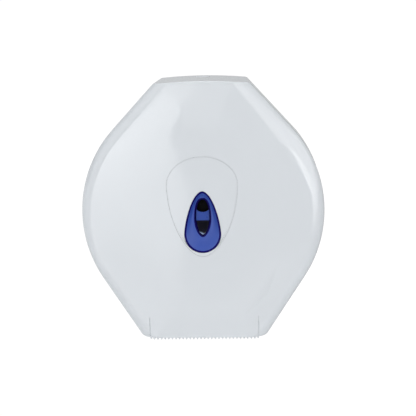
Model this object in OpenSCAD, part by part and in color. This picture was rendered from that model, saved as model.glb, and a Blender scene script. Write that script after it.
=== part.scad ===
// Jumbo toilet roll dispenser for a wall, in millimetres.
// Origin: on the wall, at the axis of the roll spindle. +Z is up, and the front faces -Y.
// Most pieces are drawn in the front view as [across, height, depth], where depth is the distance from
// the wall, and upright() turns that view into place.

/* [Cover outline] */
// Radius of the round flanks in the front view
cover_r = 170.5; // [160:0.5:190]
// Height of the flanks' centre above the spindle axis
cover_centre_h = -12.5; // [-16:0.5:-8]
// Angle of the upper slants' normals above the horizontal
upper_slant = 42.5; // [40:0.5:45]
// Angle of the lower slants' normals below the horizontal
lower_slant = 33.6; // [30:0.2:36]
// Height of the top's crown above the flanks' centre
top_rise = 187.5; // [178:0.5:195]
// Radius of the top's gentle crown
top_crown_r = 650; // [400:10:2000]
// Depth of the bottom edge below the flanks' centre
bottom_drop = 175.5; // [168:0.5:188]
// Radius of the two top corners in the front view
top_corner_r = 6; // [3:0.5:10]
// Radius of the two bottom corners in the front view
bottom_corner_r = 9; // [5:0.5:14]

/* [Cover body] */
// Distance of the cover's front from the wall
cover_depth = 132; // [125:1:150]
// Wall thickness of the cover
wall = 3; // [2.5:0.1:4]
// Radius of the round between flanks and front
rim_round = 20; // [14:1:26]
// Radius of the round between top and front
top_round = 2; // [1:0.25:4]
// How far the flanks lean in from the wall to the rim
side_draft = 2; // [1:0.2:4]
// How far the top leans down from the wall to the rim
top_draft = 8.5; // [3:0.5:10]
// How far the front bulges out between the rim and its flat middle
dome_rise = 6; // [3:0.5:10]
// Gap between the cover's rear edge and the wall
rear_gap = 0.5; // [0.3:0.1:1.5]
// Margin of the flat middle beside the window panel
flat_side_margin = 28; // [20:1:32]
// Margin of the flat middle above the window panel
flat_top_margin = 22; // [15:1:25]
// Margin of the flat middle below the window panel
flat_bottom_margin = 51; // [44:1:55]
// Corner radius of the flat middle
flat_corner_r = 12; // [6:1:14]
// Width of the upright grooves beside the tear strip
groove_w = 1; // [0.6:0.1:1.6]
// Depth of those grooves at the bottom edge
groove_depth = 1.2; // [0.6:0.1:1.6]
// Depth of those grooves at their upper ends
groove_end_depth = 0.4; // [0.3:0.05:0.6]
// Height of those grooves above the bottom edge
groove_h = 29; // [20:1:40]
// Gap between each groove and the end of the tear strip
groove_margin = 1; // [0.5:0.1:3]
// Distance of those grooves inside the straight part of the bottom edge
groove_inset = 8; // [5:0.1:12]

/* [Window panel] */
// Half the width of the egg-shaped panel
panel_half_w = 49.1; // [44:0.1:54]
// Height of the panel above its widest line
panel_up = 39.6; // [34:0.1:44]
// Height of the panel below its widest line
panel_down = 98.3; // [92:0.1:102]
// Height of the panel's widest line above the spindle axis
panel_h = 23.8; // [18:0.1:28]
// Width of the seam round the panel
seam = 0.4; // [0.2:0.05:0.8]
// Width of the panel's rear flange outside the seam
panel_flange_w = 6; // [4:0.5:8]
// Thickness of the panel's rear flange
panel_flange_t = 2.5; // [2:0.1:3]
// Radius of the ears round the panel's screws
panel_ear_r = 6.5; // [6:0.5:8]
// Distance of the panel's screws outside the seam
panel_screw_out = 5; // [4.5:0.5:6]
// Radius of the cover's posts for those screws
post_r = 3; // [2.5:0.1:3.5]

/* [Window lens] */
// Half the width of the teardrop lens
lens_half_w = 25.5; // [22:0.1:28]
// Height of the lens above its widest line
lens_up = 59; // [54:0.5:62]
// Height of the lens below its widest line
lens_down = 26.3; // [22:0.1:28]
// Height of the lens's widest line above the spindle axis
lens_h = -43.1; // [-46:0.1:-40]
// Clearance round the lens in the panel
lens_fit = 0.25; // [0.1:0.05:0.5]
// Width of the lens's rear flange
lens_flange_w = 2; // [1.6:0.1:2.2]
// How far the lens dishes in from its rim to the view slot
dish_depth = 7; // [4:0.5:9]
// Half the width of the view slot
view_half_w = 10.4; // [9:0.1:12]
// Height of the view slot above its widest line
view_up = 27.7; // [25:0.1:29]
// Height of the view slot below its widest line
view_down = 23.7; // [22:0.1:26]
// Height of the view slot's widest line above the spindle axis
view_h = -22.9; // [-25:0.1:-21]
// Depth of the view slot's wall behind the dish
view_wall = 7.5; // [5:0.5:8]
// Wall thickness of the lens
lens_wall = 2; // [1.6:0.1:2.4]
// Thickness of the view slot's floor and crossbar
bar_t = 2; // [1.5:0.1:3]
// Height of the crossbar's lower edge above the spindle axis
bar_bottom_h = -25.3; // [-27:0.1:-23]
// Height of the crossbar in its middle
bar_height = 11.5; // [9:0.5:13]
// Radius of the round hollow in the crossbar's upper edge
bar_hollow_r = 12.6; // [12:0.1:16]
// Rim of the floor round its two openings
floor_rim = 1.4; // [0.8:0.1:1.8]
// Thickness of the lens retainer
retainer_t = 2.2; // [1.8:0.1:3]
// Width of the retainer outside the lens
retainer_w = 5; // [4:0.5:6]
// Overlap of the retainer inside the lens's edge
retainer_lap = 1.5; // [1:0.1:2]
// Radius of the retainer's screw ears
retainer_ear_r = 4.5; // [4:0.1:5]
// Distance of the retainer's screws outside the lens
lens_screw_out = 6.3; // [6:0.1:7]
// Angle of the two lower retainer screws above the lens's widest line
lens_screw_angle = 14; // [8:1:20]

/* [Tear strip] */
// Pitch of the teeth
tooth_pitch = 5; // [4:0.25:6]
// Height of the teeth below the cover's edge
tooth_h = 4.5; // [3:0.25:6]
// Height of the strip above the cover's edge
strip_h = 17; // [14:0.5:22]
// Least plain end of the strip beside the last tooth
strip_end = 1.25; // [1:0.25:4]
// How far the strip's end lugs reach sideways under the cover's edge
strip_lug_w = 1.8; // [1:0.1:3]
// How far the strip's end lugs reach down
strip_lug_h = 3; // [2:0.25:4]
// Thickness of the strip
strip_t = 1.8; // [1.2:0.1:2.4]
// Thickness of the rail that carries the strip, behind the front wall's lower edge
rail_t = 6; // [5.75:0.25:8]
// Height of the strip's screws above the cover's edge
strip_screw_h = 9; // [7:0.5:12]
// Distance of the strip's outer screws from its ends
strip_screw_inset = 14; // [8:1:20]

/* [Back plate] */
// Thickness of the back plate
plate_t = 3; // [2.5:0.1:4]
// Gap between the plate's rim and the cover's wall
plate_gap = 2; // [1.6:0.1:3]
// Depth of the plate's rim from the wall
plate_rim_d = 12; // [8:0.5:13]
// Thickness of the plate's rim and ribs
rib_t = 2.4; // [1.8:0.1:3]
// Depth of the ribs from the wall
rib_d = 9; // [6:0.5:10]
// Height of the plate's lower edge above the hinge axis, beside the hinge
plate_lift = 28; // [27:1:36]
// Distance of the plate's tongue inside the straight part of the cover's bottom edge
tongue_inset = 4.6; // [3.6:0.1:8]
// Horizontal spacing of the wall screws
wall_screw_x = 140; // [120:5:170]
// Vertical spacing of the wall screws
wall_screw_h = 110; // [90:5:130]
// Radius of the wall screw holes
wall_hole_r = 2.75; // [2:0.05:3.5]
// Radius of the pads round the wall screws
wall_pad_r = 8; // [6:0.5:11]
// Depth of those pads from the wall
wall_pad_d = 5; // [4:0.5:7]

/* [Hinge] */
// Depth of the hinge axis from the wall
hinge_d = 14; // [13.5:0.5:16]
// Height of the hinge axis above the bottom edge
hinge_rise = 7.5; // [7.5:0.5:8.5]
// Radius of the hinge arms and ears
hinge_r = 6.5; // [6:0.25:7]
// Radius of the hinge pins
pin_r = 2.5; // [2:0.1:3]
// Running clearance of the hinge pins in the cover's ears
pin_fit = 0.05; // [0.02:0.01:0.09]
// Clearance of the hinge pins in the plate's arms
pin_hold = 0.02; // [0.01:0.01:0.05]
// Thickness of the hinge arms
arm_t = 6; // [5:0.5:8]
// Side clearance between arm and ear
arm_gap = 0.4; // [0.2:0.1:0.8]
// Length of the pin in the cover's ear
pin_in_ear = 8.5; // [7:0.5:8.5]
// Radius of the pins' heads
pin_head_r = 4.2; // [3.6:0.1:5]
// Thickness of the pins' heads
pin_head_t = 1.8; // [1:0.1:2.5]
// Clearance of the opened cover from the wall
wall_clear = 0.8; // [0.5:0.1:2]

/* [Spindle and hub] */
// Radius of the spindle axle
axle_r = 9; // [7:0.25:11]
// Running clearance of the hub on the axle
axle_fit = 0.06; // [0.03:0.01:0.09]
// Depth of the back plate's spindle boss from the wall
boss_d = 8; // [6:0.5:9]
// Radius of the spindle's flange
spindle_flange_r = 26; // [22:0.5:30]
// Thickness of the spindle's flange
spindle_flange_t = 3; // [2:0.25:3.5]
// Pitch circle radius of the spindle's four screws
spindle_screw_pcr = 19; // [17:0.5:22]
// Clearance between the spindle's screws and the hub
hub_clear = 0.7; // [0.5:0.05:1.5]
// Outer radius of the hub, which carries the roll's core
hub_r = 22; // [19:0.5:26]
// Thickness of the hub's barrel
hub_wall = 2.4; // [2:0.1:3]
// Thickness of the hub's inner sleeve
sleeve_wall = 3; // [2:0.25:4]
// Number of ribs between sleeve and barrel
hub_ribs = 6; // [3:1:8]
// Thickness of those ribs
hub_rib_t = 2; // [1.5:0.1:3]
// Radius of the hub's rear guide flange
guide_r = 52; // [45:1:60]
// Thickness of the rear guide flange
guide_t = 2.5; // [2:0.1:3.5]
// Depth of the sleeve's front end behind the barrel's front end
sleeve_set_back = 5.5; // [5:0.25:8]
// End play of the hub
end_play = 0.3; // [0.2:0.05:0.6]
// Thickness of the hub's washer
washer_t = 1.2; // [0.8:0.1:1.6]
// How far the hub's washer stands out round the axle
washer_lip = 2.5; // [1.5:0.25:3]
// Rise of the hub cap's rounded nose
cap_rise = 2.2; // [1:0.1:3]
// Thickness of the hub cap's rim
cap_t = 1.4; // [1:0.1:2]
// Length of the hub cap's spigot
cap_spigot = 4; // [3:0.25:5]
// Gap between the hub cap and the window lens
cap_clear = 5.55; // [3:0.05:12]

/* [Lock] */
// Depth of the lock's axis from the wall
lock_d = 30; // [28:0.5:34]
// Radius of the lock barrel
lock_r = 8; // [7:0.25:9]
// Clearance of the lock barrel in the cover
lock_fit = 0.1; // [0.05:0.01:0.2]
// Radius of the lock's flange
lock_flange_r = 11; // [10:0.25:13]
// Thickness of the lock's flange
lock_flange_t = 1.5; // [1:0.1:2]
// How far the lock's flange lies below the cover's top
lock_sink = 0.8; // [0.5:0.1:1.2]
// Length of the lock barrel below its flange
lock_len = 18; // [16:0.5:22]
// Thickness of the pad under the lock's hole
lock_pad_t = 3; // [2:0.25:5]
// Radius of that pad
lock_pad_r = 15; // [14:0.5:18]
// Width of the lock nut across its corners
lock_nut_w = 25.4; // [22:0.2:27]
// Thickness of the lock nut
lock_nut_t = 4; // [3:0.25:5]
// Radius of the turning plug
plug_r = 5.5; // [4.5:0.1:6]
// Running clearance of the plug
plug_fit = 0.06; // [0.03:0.01:0.09]
// Thickness of the cam
cam_t = 2.5; // [2:0.1:3]
// Radius of the cam's middle
cam_r = 8; // [7:0.25:9]
// Width of the cam's arm
cam_arm_w = 8; // [6:0.25:10]
// Reach of the cam from the lock's axis to its foot's far side
cam_reach = 20.5; // [19:0.25:21]
// Thickness of the cam's foot
cam_foot_t = 3; // [2:0.25:4]
// Length of the cam's foot from the arm's middle line
cam_foot = 12; // [10:0.5:13]
// Gap between the turned foot and the keeper
keeper_gap = 0.8; // [0.5:0.1:1.5]
// Thickness of the keeper strip
keeper_t = 2; // [1.5:0.1:3]
// Height of the keeper strip
keeper_w = 12; // [10:0.5:14]
// Distance of the keeper's free end beside the lock's axis
keeper_start = 6; // [5:0.5:7]
// Length of the keeper strip
keeper_len = 34; // [30:0.5:38]
// Length of the keeper's seat on the back plate
keeper_seat = 20.5; // [18:0.5:21]
// Distance between the keeper's two screws
keeper_screw_pitch = 9.5; // [8:0.5:11]

/* [Fasteners] */
// Gap between seated faces
seat = 0.1; // [0.05:0.01:0.2]
// Clearance of a screw's shank in its pilot hole
shank_fit = 0.05; // [0.02:0.01:0.1]
// Clearance of a screw's shank in the piece that it clamps
through_fit = 0.3; // [0.15:0.05:0.6]
// Shank radius of the panel and tear strip screws
small_shank_r = 1.25; // [1:0.05:1.5]
// Head radius of the tear strip screws
small_head_r = 2.9; // [2.4:0.1:3.4]
// Head radius of the panel screws
panel_head_r = 4.6; // [4.2:0.1:5]
// Shank radius of the retainer screws
lens_shank_r = 1.1; // [0.9:0.05:1.3]
// Head radius of the retainer screws
lens_head_r = 2.6; // [2.2:0.1:3]
// Thickness of the small screws' heads
small_head_t = 1.8; // [1.2:0.1:2.2]
// How far the small screws go in
small_grip = 4; // [3:0.1:4.2]
// Shank radius of the spindle and keeper screws
big_shank_r = 1.75; // [1.4:0.05:2]
// Head radius of the spindle and keeper screws
big_head_r = 3.4; // [2.8:0.1:4]
// Head thickness of the spindle and keeper screws
big_head_t = 2.2; // [1.6:0.1:2.4]
// How far the spindle and keeper screws go in
big_grip = 6; // [5:0.25:6.5]
// Shank radius of the hub and cam screws
end_shank_r = 2; // [1.5:0.05:2.5]
// Head radius of the hub and cam screws
end_head_r = 3.8; // [3.2:0.1:4.4]
// How far the hub and cam screws go in
end_grip = 9; // [6:0.5:12]

/* [Hidden] */

// Smoothness: steps along each stretch of the outlines, and facets of the round pieces
flank_steps = 20;
corner_steps = 4;
crown_steps = 4;
round_steps = 5;
dome_steps = 3;
groove_steps = 4;
drop_steps = 48;
$fn = 64;
far = 400;    // longer than any piece
over = 1;     // how far a cut runs past the face that it opens

// Curves of the drop outlines as [power of the cosine, power of the sine]
ellipse_curve = [1, 1];
panel_taper = [1.1, 1.143];
lens_taper = [1.08, 1.4];
view_top_taper = [0.8, 0.85];
view_taper = [1.12, 1.1];

// Heights above the spindle axis
bottom_h = cover_centre_h - bottom_drop;
top_h = cover_centre_h + top_rise;
hinge_h = bottom_h + hinge_rise;

// Depths from the wall
rim_d = cover_depth - dome_rise;             // where the rim's round meets the bulging front
inner_front_d = cover_depth - wall;
panel_flange_rear = inner_front_d - seat - panel_flange_t;
retainer_front = panel_flange_rear - seat;
retainer_rear = retainer_front - retainer_t;
rail_d = rim_d - wall - rail_t;
strip_front = rail_d - seat;
strip_rear = strip_front - strip_t;

lens_rim_d = cover_depth - lens_fit;
lens_slot_front = lens_rim_d - dish_depth;
lens_slot_rear = lens_slot_front - view_wall;
spindle_front_d = boss_d + seat + spindle_flange_t;
hub_rear_d = spindle_front_d + big_head_t + hub_clear;
hub_front_d = lens_slot_rear - cap_clear - cap_rise - cap_t - seat;

module upright() rotate([90, 0, 0]) children();

// Pan-head screw along +Z with its head's seat at z = 0 and a cross recess in the head.
module screw(shank_r, head_r, head_t, length) {
    recess_w = head_r/4;
    recess_l = head_r*1.1;
    difference() {
        translate([0, 0, -head_t]) cylinder(r = head_r, h = head_t);
        for (turn = [0, 90]) rotate([0, 0, turn])
            translate([-recess_l/2, -recess_w/2, -head_t - over]) cube([recess_l, recess_w, over + head_t/2]);
    }
    cylinder(r = shank_r, h = length);
}

// ---- Outline of the cover ----

function direction(a) = [cos(a), sin(a)];
function arc(centre, r, from, to, steps) =
    [for (i = [0:steps]) centre + r*direction(from + (to - from)*i/steps)];

// Across from the middle to the centre of a bottom corner, where the straight part of that edge ends
function low_corner_x(side, bottom, low_r) =
    (cover_r - side - low_r + sin(lower_slant)*(bottom_h + bottom + low_r - cover_centre_h))/cos(lower_slant);

// Right half of the cover's outline, from the bottom up: its flank lies `side` inside the full outline,
// its top `top` below the crown and its bottom `bottom` above the edge. Corners have radii low_r, high_r.
function half_outline(side, top, bottom, low_r, high_r) =
    let(centre = [0, cover_centre_h],
        upper = direction(upper_slant),
        crown = [0, top_h - top_crown_r],
        crown_r = top_crown_r - top,
        foot = centre + upper*(cover_r - side - high_r),
        along = [-upper.y, upper.x],
        from_crown = foot - crown,
        b = from_crown*along,
        c = from_crown*from_crown - pow(crown_r - high_r, 2),
        high = foot + along*(sqrt(b*b - c) - b),
        crown_angle = atan2(high.y - crown.y, high.x - crown.x))
    concat(
        arc([low_corner_x(side, bottom, low_r), bottom_h + bottom + low_r], low_r, -90, -lower_slant,
            corner_steps),
        [for (i = [1:flank_steps - 1])
            centre + (cover_r - side)*direction(-lower_slant + (upper_slant + lower_slant)*i/flank_steps)],
        arc(high, high_r, upper_slant, crown_angle, corner_steps),
        [for (i = [1:crown_steps])
            crown + crown_r*direction(crown_angle + (90 - crown_angle)*i/crown_steps)]);

// Whole outline, with the crown's middle point taken once.
function outline(side, top, bottom, low_r, high_r) =
    let(half = half_outline(side, top, bottom, low_r, high_r), last = len(half) - 1)
    concat(half, [for (i = [last - 1:-1:0]) [-half[i].x, half[i].y]]);

function at_depth(points, d) = [for (p = points) [p.x, p.y, d]];

// Across from the middle to the grooves, the tear strip's ends and the plate's tongue, from the bottom edge
foot_half_w = low_corner_x(0, 0, bottom_corner_r);
groove_x = foot_half_w - groove_inset;
strip_half_w = groove_x - groove_w/2 - groove_margin;
lug_end = strip_half_w + strip_lug_w;
tongue_half_w = foot_half_w - tongue_inset;
tooth_count = floor(2*(strip_half_w - strip_end)/tooth_pitch);

// Where the flat middle lies, as insets from the full outline
flat_side = cover_r - panel_half_w - flat_side_margin;
flat_top = top_h - panel_h - panel_up - flat_top_margin;
flat_bottom = panel_h - panel_down - flat_bottom_margin - bottom_h;

// Rings of the cover's outer surface (skin = 0) or of its inner surface (skin = wall).
function side_ring(skin, d, lean_side, lean_top) =
    at_depth(outline(skin + lean_side, skin + lean_top, skin > 0 ? -skin - over : 0,
        bottom_corner_r, top_corner_r), d);
function round_ring(skin, f) =
    let(r = rim_round - skin, t = max(top_round - skin, over),
        d = rim_d - skin - r + r*sin(90*f),
        into_top = max(0, (d - (rim_d - skin - t))/t))
    side_ring(skin, d, side_draft + r*(1 - cos(90*f)),
        top_draft*d/(rim_d - skin) + t*(1 - sqrt(1 - into_top*into_top)));
function dome_ring(skin, f) =
    let(side = side_draft + rim_round, top = top_draft + top_round,
        low = skin > 0 ? -skin - over : 0)
    at_depth(outline(side + f*(flat_side - side), top + f*(flat_top - top), low + f*(flat_bottom - low),
        bottom_corner_r + f*(flat_corner_r - bottom_corner_r),
        top_corner_r + f*(flat_corner_r - top_corner_r)),
        rim_d - skin + dome_rise*(1 - pow(1 - f, 2)));
function shell_rings(skin) = concat(
    [side_ring(skin, skin > 0 ? rear_gap - over : rear_gap, 0, 0)],
    [for (i = [0:round_steps - 1]) round_ring(skin, i/round_steps)],
    [for (i = [0:dome_steps]) dome_ring(skin, i/dome_steps)]);

// Depth of the outer surface along the lower slants' round and just inside it
function front_depth(x, h) =
    let(in_round = cover_r - x*cos(lower_slant) + (h - cover_centre_h)*sin(lower_slant) - side_draft,
        f = (in_round - rim_round)/(flat_side - side_draft - rim_round))
    f < 0 ? rim_d - rim_round + sqrt(pow(rim_round, 2) - pow(rim_round - in_round, 2))
        : rim_d + dome_rise*(1 - pow(1 - f, 2));

// Closed solid through rings of points that run anticlockwise as seen from the front, rear ring first.
module skin_through(rings) {
    n = len(rings[0]);
    last = len(rings) - 1;
    sides = [for (i = [0:last - 1], j = [0:n - 1], half = [0, 1])
        let(a = i*n + j, b = i*n + (j + 1)%n) half == 0 ? [a, a + n, b + n] : [a, b + n, b]];
    polyhedron(points = [for (r = rings) each r],
        faces = concat(sides, [[for (j = [0:n - 1]) j]], [[for (j = [n - 1:-1:0]) last*n + j]]));
}

// Closed ring of such rings: the surface runs from the last ring back to the first.
module band_through(rings) {
    n = len(rings[0]);
    m = len(rings);
    polyhedron(points = [for (r = rings) each r],
        faces = [for (i = [0:m - 1], j = [0:n - 1], half = [0, 1])
            let(a = i*n + j, b = i*n + (j + 1)%n, c = ((i + 1)%m)*n + j, d = ((i + 1)%m)*n + (j + 1)%n)
            half == 0 ? [a, c, d] : [a, d, b]]);
}

// ---- Drop outlines: the egg of the panel, the teardrop of the lens and the view slot ----

function drop_point(a, half_w, up, down, mid_h, up_curve, down_curve, grow) =
    let(curve = sin(a) >= 0 ? up_curve : down_curve, reach = grow + (sin(a) >= 0 ? up : down))
    [(half_w + grow)*sign(cos(a))*pow(abs(cos(a)), curve[0]),
        mid_h + sign(sin(a))*reach*pow(abs(sin(a)), curve[1])];
function panel_at(a, grow) =
    drop_point(a, panel_half_w, panel_up, panel_down, panel_h, ellipse_curve, panel_taper, grow);
function lens_at(a, grow) =
    drop_point(a, lens_half_w, lens_up, lens_down, lens_h, lens_taper, ellipse_curve, grow);
function view_at(a, grow) =
    drop_point(a, view_half_w, view_up, view_down, view_h, view_top_taper, view_taper, grow);

drop_angles = [for (i = [0:drop_steps - 1]) 360*i/drop_steps];
function panel_line(grow) = [for (a = drop_angles) panel_at(a, grow)];
function lens_line(grow) = [for (a = drop_angles) lens_at(a, grow)];
function view_line(grow) = [for (a = drop_angles) view_at(a, grow)];

// Plate of a given outline between two depths
module plate(from_d, to_d) translate([0, 0, from_d]) linear_extrude(to_d - from_d) children();

panel_screw_places = [for (a = [25, 155, 222, 318]) panel_at(a, panel_screw_out)];
lens_screw_places = [for (a = [90, lens_screw_angle, 180 - lens_screw_angle]) lens_at(a, lens_screw_out)];
strip_screw_places = [for (f = [-1, -1/3, 1/3, 1])
    [f*(strip_half_w - strip_screw_inset), bottom_h + strip_screw_h]];

// ---- Lock heights ----

lock_seat_h = top_h - top_draft*lock_d/rim_d - lock_sink - lock_flange_t;
lock_pad_h = lock_seat_h - wall - lock_pad_t;
lock_end_h = lock_seat_h - lock_len;
cam_top_h = lock_end_h - seat;
cam_low_h = cam_top_h - cam_t;
cam_swing_r = norm([cam_reach, cam_foot]) + over;
cam_clear = washer_t + big_head_t + cam_t;     // height that the ribs leave free round the cam
keeper_mid_h = cam_low_h + cam_t/2;
keeper_d = lock_d - cam_reach + cam_foot_t + keeper_gap;      // rear face of the keeper strip
keeper_seat_x = keeper_start + keeper_len - keeper_seat;
keeper_screw_places = [for (i = [-0.5, 0.5])
    [keeper_seat_x + keeper_seat/2 + i*keeper_screw_pitch, keeper_mid_h]];

// ---- Cover and what it carries ----

// What is left standing inside the cover: posts, rail, hinge ears and the pad under the lock.
module cover_bosses() {
    upright() {
        for (p = panel_screw_places) translate([p.x, p.y, panel_flange_rear - seat])
            cylinder(r = post_r, h = cover_depth);
        translate([-strip_half_w, bottom_h - far, rail_d]) cube([2*strip_half_w, far + strip_h, cover_depth]);
        for (s = [-1, 1]) translate([s*(tongue_half_w + arm_gap), hinge_h, hinge_d])
            rotate([0, 90*s, 0]) cylinder(r = hinge_r, h = far);
    }
    translate([0, -lock_d, lock_pad_h]) cylinder(r = lock_pad_r, h = far);
}

// Lower rear corner that would meet the wall as the cover opens
module hinge_relief() {
    swing_r = hinge_d - wall_clear;
    translate([-far, 0, 0]) rotate([90, 0, 90]) linear_extrude(2*far) difference() {
        translate([-hinge_d, hinge_h - far]) square([hinge_d + far, far]);
        translate([-hinge_d, hinge_h]) circle(r = swing_r);
    }
}

// Grooves that rise from the bottom edge and become shallower
module grooves() for (s = [-1, 1]) translate([s*groove_x - groove_w/2, 0, 0]) rotate([90, 0, 90])
    linear_extrude(groove_w) polygon(concat(
        [[bottom_h - over, front_depth(groove_x, bottom_h) - groove_depth]],
        [for (i = [0:groove_steps]) let(f = i/groove_steps, h = bottom_h + f*groove_h)
            [h, front_depth(groove_x, h) - groove_depth*(1 - f) - groove_end_depth*f]],
        [[bottom_h + groove_h, cover_depth + over], [bottom_h - over, cover_depth + over]]));

module cover() color([0.87, 0.89, 0.91]) difference() {
    upright() skin_through(shell_rings(0));
    difference() {
        upright() skin_through(shell_rings(wall));
        cover_bosses();
    }
    upright() {
        plate(inner_front_d - over, cover_depth + over) polygon(panel_line(0));
        grooves();
        for (p = panel_screw_places) translate([p.x, p.y, panel_flange_rear - seat - over])
            cylinder(r = small_shank_r + shank_fit, h = small_grip + 2*over);
        for (p = strip_screw_places) translate([p.x, p.y, rail_d - over])
            cylinder(r = small_shank_r + shank_fit, h = small_grip + over);
        for (s = [-1, 1]) translate([s*tongue_half_w, hinge_h, hinge_d])
            rotate([0, 90*s, 0]) cylinder(r = pin_r + pin_fit, h = arm_gap + pin_in_ear + arm_gap);
    }
    hinge_relief();
    translate([0, -lock_d, lock_seat_h]) cylinder(r = lock_flange_r + lock_fit, h = far);
    translate([0, -lock_d, lock_pad_h - over]) cylinder(r = lock_r + lock_fit, h = far);
}

module window_panel() color([0.87, 0.89, 0.91]) upright() difference() {
    union() {
        plate(inner_front_d - panel_flange_t, cover_depth) polygon(panel_line(-seam));
        plate(panel_flange_rear, inner_front_d - seat) {
            polygon(panel_line(panel_flange_w));
            for (p = panel_screw_places) translate(p) circle(r = panel_ear_r);
        }
    }
    plate(panel_flange_rear - over, cover_depth + over) polygon(lens_line(0));
    plate(panel_flange_rear - over, inner_front_d) polygon(lens_line(lens_flange_w + lens_fit));
    for (p = panel_screw_places) translate([p.x, p.y, panel_flange_rear - over])
        cylinder(r = post_r + lens_fit, h = cover_depth);
    for (p = lens_screw_places) translate([p.x, p.y, panel_flange_rear - over])
        cylinder(r = lens_shank_r + shank_fit, h = small_grip + over);
}

module panel_screws() color("silver") upright()
    for (p = panel_screw_places) translate([p.x, p.y, panel_flange_rear - 2*seat])
        screw(small_shank_r, panel_head_r, small_head_t, small_grip);

// The dish is a blend of the teardrop and the view slot.
function dish_line(f, d, grow) = let(a = lens_line(grow), b = view_line(grow))
    at_depth([for (i = [0:drop_steps - 1]) a[i]*(1 - f) + b[i]*f], d);

module window_lens() {
    flange_front = inner_front_d - seat;
    flange_rear = panel_flange_rear;
    color([0.16, 0.25, 0.65, 0.8]) upright() {
        band_through([
            at_depth(view_line(lens_wall), lens_slot_rear),
            at_depth(view_line(lens_wall), lens_slot_front - lens_wall),
            dish_line(0.5, lens_slot_front - lens_wall + dish_depth/5, 0),
            at_depth(lens_line(-lens_fit - lens_wall), flange_rear),
            at_depth(lens_line(lens_flange_w), flange_rear),
            at_depth(lens_line(lens_flange_w), flange_front),
            at_depth(lens_line(-lens_fit), flange_front),
            at_depth(lens_line(-lens_fit), lens_rim_d),
            dish_line(0.3, lens_rim_d - dish_depth*0.3, -lens_fit),
            dish_line(0.65, lens_rim_d - dish_depth*0.68, -lens_fit),
            at_depth(view_line(0), lens_slot_front),
            at_depth(view_line(0), lens_slot_rear)]);
        plate(lens_slot_rear, lens_slot_rear + bar_t) difference() {
            polygon(view_line(lens_wall/2));
            intersection() {
                polygon(view_line(-floor_rim));
                union() {
                    translate([-far, bar_bottom_h - far]) square([2*far, far]);
                    translate([0, bar_bottom_h + bar_height + bar_hollow_r]) {
                        circle(r = bar_hollow_r);
                        translate([-far, 0]) square([2*far, far]);
                    }
                }
            }
        }
    }
}

module lens_retainer() color([0.86, 0.87, 0.88]) upright() difference() {
    plate(retainer_rear, retainer_front) {
        polygon(lens_line(retainer_w));
        for (p = lens_screw_places) translate(p) circle(r = retainer_ear_r);
    }
    plate(retainer_rear - over, retainer_front + over) polygon(lens_line(-lens_fit - retainer_lap));
    for (p = lens_screw_places) translate([p.x, p.y, retainer_rear - over])
        cylinder(r = lens_shank_r + through_fit, h = retainer_t + 2*over);
}

module lens_screws() color("silver") upright()
    for (p = lens_screw_places) translate([p.x, p.y, retainer_rear])
        screw(lens_shank_r, lens_head_r, small_head_t, retainer_t + seat + small_grip - over);

module tear_strip() color([0.87, 0.89, 0.91]) upright() difference() {
    plate(strip_rear, strip_front) polygon(concat(
        [[-strip_half_w, bottom_h + strip_h], [-strip_half_w, bottom_h - seat],
            [-lug_end, bottom_h - seat], [-lug_end, bottom_h - strip_lug_h],
            [-strip_half_w, bottom_h - strip_lug_h]],
        [for (i = [0:tooth_count - 1], f = [0, 0.5])
            [(i + f - tooth_count/2)*tooth_pitch, bottom_h - (f > 0 ? tooth_h : seat)]],
        [[tooth_count*tooth_pitch/2, bottom_h - seat], [strip_half_w, bottom_h - strip_lug_h],
            [lug_end, bottom_h - strip_lug_h], [lug_end, bottom_h - seat],
            [strip_half_w, bottom_h - seat], [strip_half_w, bottom_h + strip_h]]));
    for (p = strip_screw_places) translate([p.x, p.y, strip_rear - over])
        cylinder(r = small_shank_r + through_fit, h = strip_t + 2*over);
}

module tear_strip_screws() color("silver") upright()
    for (p = strip_screw_places) translate([p.x, p.y, strip_rear])
        screw(small_shank_r, small_head_r, small_head_t, strip_t + small_grip - over);

// ---- Lock ----

module at_lock(h) translate([0, -lock_d, h]) children();

plug_head_r = plug_r + (lock_r - plug_r)/2;
plug_head_t = lock_flange_t/2;
spigot_w = plug_r*1.1;

module lock_body() color([0.75, 0.76, 0.78]) difference() {
    union() {
        at_lock(lock_seat_h) cylinder(r = lock_flange_r, h = lock_flange_t);
        at_lock(lock_end_h) cylinder(r = lock_r, h = lock_len + over/2);
    }
    at_lock(lock_end_h - over) cylinder(r = plug_r + plug_fit, h = far);
    at_lock(lock_seat_h + lock_flange_t - plug_head_t - seat) cylinder(r = plug_head_r + plug_fit, h = far);
}

module lock_nut() color([0.7, 0.71, 0.73]) at_lock(lock_pad_h - seat - lock_nut_t) difference() {
    cylinder(r = lock_nut_w/2, h = lock_nut_t, $fn = 6);
    translate([0, 0, -over]) cylinder(r = lock_r + lock_fit, h = lock_nut_t + 2*over);
}

module lock_plug() color([0.62, 0.63, 0.65]) difference() {
    plug_top = lock_seat_h + lock_flange_t;
    key_w = plug_r/4;
    key_l = plug_r*1.3;
    union() {
        at_lock(plug_top - plug_head_t) cylinder(r = plug_head_r, h = plug_head_t);
        at_lock(lock_end_h) cylinder(r = plug_r, h = lock_len + lock_flange_t - plug_head_t/2);
        at_lock(cam_low_h) translate([-spigot_w/2, -spigot_w/2, 0]) cube([spigot_w, spigot_w, cam_t + over]);
    }
    at_lock(plug_top - lock_len/3) translate([-key_w/2, -key_l/2, 0]) cube([key_w, key_l, far]);
    at_lock(cam_low_h - over) cylinder(r = end_shank_r + shank_fit, h = end_grip + 2*over);
}

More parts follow.
